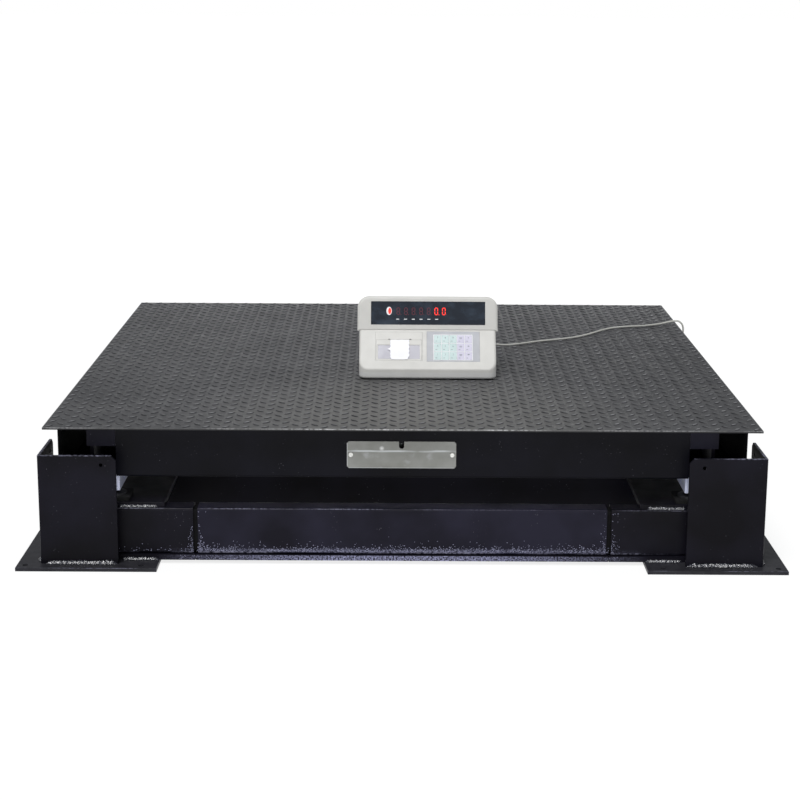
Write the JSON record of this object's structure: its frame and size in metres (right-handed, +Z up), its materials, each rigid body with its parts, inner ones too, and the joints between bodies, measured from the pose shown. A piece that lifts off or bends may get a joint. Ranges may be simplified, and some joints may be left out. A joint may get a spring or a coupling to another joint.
{
  "type": "pallet scale",
  "caption": "Double-deck floor scale: tube base frame with corner guard posts, chequered deck on corner load cells, and a desk indicator with keypad and slip printer on top.",
  "frame": {"origin": "centre of the footprint, on the floor under the anchor plates", "axes": "+Z up; -Y is the front, where the indicator's keys and the access cover face; +X is to the right seen from the front"},
  "size_m": [1.612, 1.612, 0.4759],
  "materials": {
    "frame_paint": "black semi-gloss sprayed enamel with a fine orange peel",
    "deck_paint": "dark grey-black paint on chequered plate, slightly worn on the lentils",
    "sleeve_steel": "bare steel with black mill scale",
    "cell_steel": "nickel-plated alloy steel",
    "zinc_steel": "zinc-plated steel",
    "foot_steel": "blackened steel",
    "pad_rubber": "black rubber",
    "cover_steel": "worn brushed stainless plate",
    "box_metal": "die-cast aluminium",
    "gland_plastic": "black nylon",
    "cord_jacket": "light grey PVC jacket",
    "case_ivory": "fine-textured ivory ABS",
    "case_grey": "fine-textured light grey ABS",
    "window_tint": "dark tinted acrylic",
    "board_green": "green circuit board",
    "overlay_grey": "light grey membrane overlay",
    "key_mint": "pale mint membrane key",
    "key_lavender": "pale lavender membrane key",
    "paper": "white thermal paper",
    "switch_black": "black moulded plastic"
  },
  "bodies": {
    "base": {"base_plates": "frame_paint", "corner_posts": "frame_paint", "corner_boxes": "frame_paint", "end_beams": "frame_paint", "side_beams": "frame_paint", "cross_beams": "frame_paint", "joint_sleeves": "sleeve_steel", "bottom_strips": "frame_paint", "seat_plates": "frame_paint", "buffer_pads": "pad_rubber", "weld_beads": "frame_paint"},
    "deck": {"deck_plate": "deck_paint", "front_rail": "frame_paint", "rear_rail": "frame_paint", "left_rail": "frame_paint", "right_rail": "frame_paint", "deck_ribs": "frame_paint", "cell_brackets": "frame_paint", "load_cells": "cell_steel", "cell_bolts": "zinc_steel", "junction_box": "box_metal", "access_cover": "cover_steel", "cover_screws": "zinc_steel", "cord_gland": "gland_plastic", "indicator_cord": "cord_jacket", "case_base": "case_grey", "case_feet": "pad_rubber", "case_top": "case_ivory", "display_window": "window_tint", "display_board": "board_green", "keypad_panel": "overlay_grey", "printer_tray": "case_ivory", "printer_head": "case_ivory", "roll_spindle": "case_ivory", "main_board": "board_green", "signal_plug": "gland_plastic", "switch_frame": "switch_black"},
    "foot_front_left": {"foot_front_left": "foot_steel"},
    "foot_front_right": {"foot_front_right": "foot_steel"},
    "foot_rear_left": {"foot_rear_left": "foot_steel"},
    "foot_rear_right": {"foot_rear_right": "foot_steel"},
    "key_11": {"key_11": "key_mint"},
    "key_12": {"key_12": "key_mint"},
    "key_13": {"key_13": "key_mint"},
    "key_14": {"key_14": "key_lavender"},
    "key_15": {"key_15": "key_lavender"},
    "key_21": {"key_21": "key_mint"},
    "key_22": {"key_22": "key_mint"},
    "key_23": {"key_23": "key_mint"},
    "key_24": {"key_24": "key_lavender"},
    "key_25": {"key_25": "key_lavender"},
    "key_31": {"key_31": "key_mint"},
    "key_32": {"key_32": "key_mint"},
    "key_33": {"key_33": "key_mint"},
    "key_34": {"key_34": "key_lavender"},
    "key_35": {"key_35": "key_lavender"},
    "printer_door": {"printer_door": "case_ivory", "paper_slip": "paper"},
    "paper_roll": {"paper_roll": "paper"},
    "power_switch": {"power_switch": "switch_black"}
  },
  "joints": [
    {"name": "deck_travel", "type": "slide", "parent": "base", "child": "deck", "axis": [0, 0, 1], "range_m": [-0.002, 0], "stiffness_N_per_m": 1500000, "springref_m": 0.0013, "deforming": ["buffer_pads"]},
    {"name": "foot_front_left_turn", "type": "hinge", "parent": "deck", "child": "foot_front_left", "pos_m": [-0.614, -0.69, 0.16], "axis": [0, 0, 1], "continuous": true},
    {"name": "foot_front_right_turn", "type": "hinge", "parent": "deck", "child": "foot_front_right", "pos_m": [0.614, -0.69, 0.16], "axis": [0, 0, 1], "continuous": true},
    {"name": "foot_rear_left_turn", "type": "hinge", "parent": "deck", "child": "foot_rear_left", "pos_m": [-0.614, 0.69, 0.16], "axis": [0, 0, 1], "continuous": true},
    {"name": "foot_rear_right_turn", "type": "hinge", "parent": "deck", "child": "foot_rear_right", "pos_m": [0.614, 0.69, 0.16], "axis": [0, 0, 1], "continuous": true},
    {"name": "key_11_press", "type": "slide", "parent": "deck", "child": "key_11", "axis": [0, -0.766, 0.6428], "range_m": [-0.0006, 0], "stiffness_N_per_m": 800, "springref_m": 0.0002},
    {"name": "key_12_press", "type": "slide", "parent": "deck", "child": "key_12", "axis": [0, -0.766, 0.6428], "range_m": [-0.0006, 0], "stiffness_N_per_m": 800, "springref_m": 0.0002},
    {"name": "key_13_press", "type": "slide", "parent": "deck", "child": "key_13", "axis": [0, -0.766, 0.6428], "range_m": [-0.0006, 0], "stiffness_N_per_m": 800, "springref_m": 0.0002},
    {"name": "key_14_press", "type": "slide", "parent": "deck", "child": "key_14", "axis": [0, -0.766, 0.6428], "range_m": [-0.0006, 0], "stiffness_N_per_m": 800, "springref_m": 0.0002},
    {"name": "key_15_press", "type": "slide", "parent": "deck", "child": "key_15", "axis": [0, -0.766, 0.6428], "range_m": [-0.0006, 0], "stiffness_N_per_m": 800, "springref_m": 0.0002},
    {"name": "key_21_press", "type": "slide", "parent": "deck", "child": "key_21", "axis": [0, -0.766, 0.6428], "range_m": [-0.0006, 0], "stiffness_N_per_m": 800, "springref_m": 0.0002},
    {"name": "key_22_press", "type": "slide", "parent": "deck", "child": "key_22", "axis": [0, -0.766, 0.6428], "range_m": [-0.0006, 0], "stiffness_N_per_m": 800, "springref_m": 0.0002},
    {"name": "key_23_press", "type": "slide", "parent": "deck", "child": "key_23", "axis": [0, -0.766, 0.6428], "range_m": [-0.0006, 0], "stiffness_N_per_m": 800, "springref_m": 0.0002},
    {"name": "key_24_press", "type": "slide", "parent": "deck", "child": "key_24", "axis": [0, -0.766, 0.6428], "range_m": [-0.0006, 0], "stiffness_N_per_m": 800, "springref_m": 0.0002},
    {"name": "key_25_press", "type": "slide", "parent": "deck", "child": "key_25", "axis": [0, -0.766, 0.6428], "range_m": [-0.0006, 0], "stiffness_N_per_m": 800, "springref_m": 0.0002},
    {"name": "key_31_press", "type": "slide", "parent": "deck", "child": "key_31", "axis": [0, -0.766, 0.6428], "range_m": [-0.0006, 0], "stiffness_N_per_m": 800, "springref_m": 0.0002},
    {"name": "key_32_press", "type": "slide", "parent": "deck", "child": "key_32", "axis": [0, -0.766, 0.6428], "range_m": [-0.0006, 0], "stiffness_N_per_m": 800, "springref_m": 0.0002},
    {"name": "key_33_press", "type": "slide", "parent": "deck", "child": "key_33", "axis": [0, -0.766, 0.6428], "range_m": [-0.0006, 0], "stiffness_N_per_m": 800, "springref_m": 0.0002},
    {"name": "key_34_press", "type": "slide", "parent": "deck", "child": "key_34", "axis": [0, -0.766, 0.6428], "range_m": [-0.0006, 0], "stiffness_N_per_m": 800, "springref_m": 0.0002},
    {"name": "key_35_press", "type": "slide", "parent": "deck", "child": "key_35", "axis": [0, -0.766, 0.6428], "range_m": [-0.0006, 0], "stiffness_N_per_m": 800, "springref_m": 0.0002},
    {"name": "printer_door_hinge", "type": "hinge", "parent": "deck", "child": "printer_door", "pos_m": [-0.0085, -0.25663, 0.33985], "axis": [1, 0, 0], "range_deg": [0, 100]},
    {"name": "paper_roll_spin", "type": "hinge", "parent": "deck", "child": "paper_roll", "pos_m": [-0.0065, -0.22294, 0.34422], "axis": [1, 0, 0], "continuous": true},
    {"name": "power_switch_rock", "type": "hinge", "parent": "deck", "child": "power_switch", "pos_m": [-0.02, -0.026, 0.35], "axis": [1, 0, 0], "range_deg": [0, 12]}
  ]
}
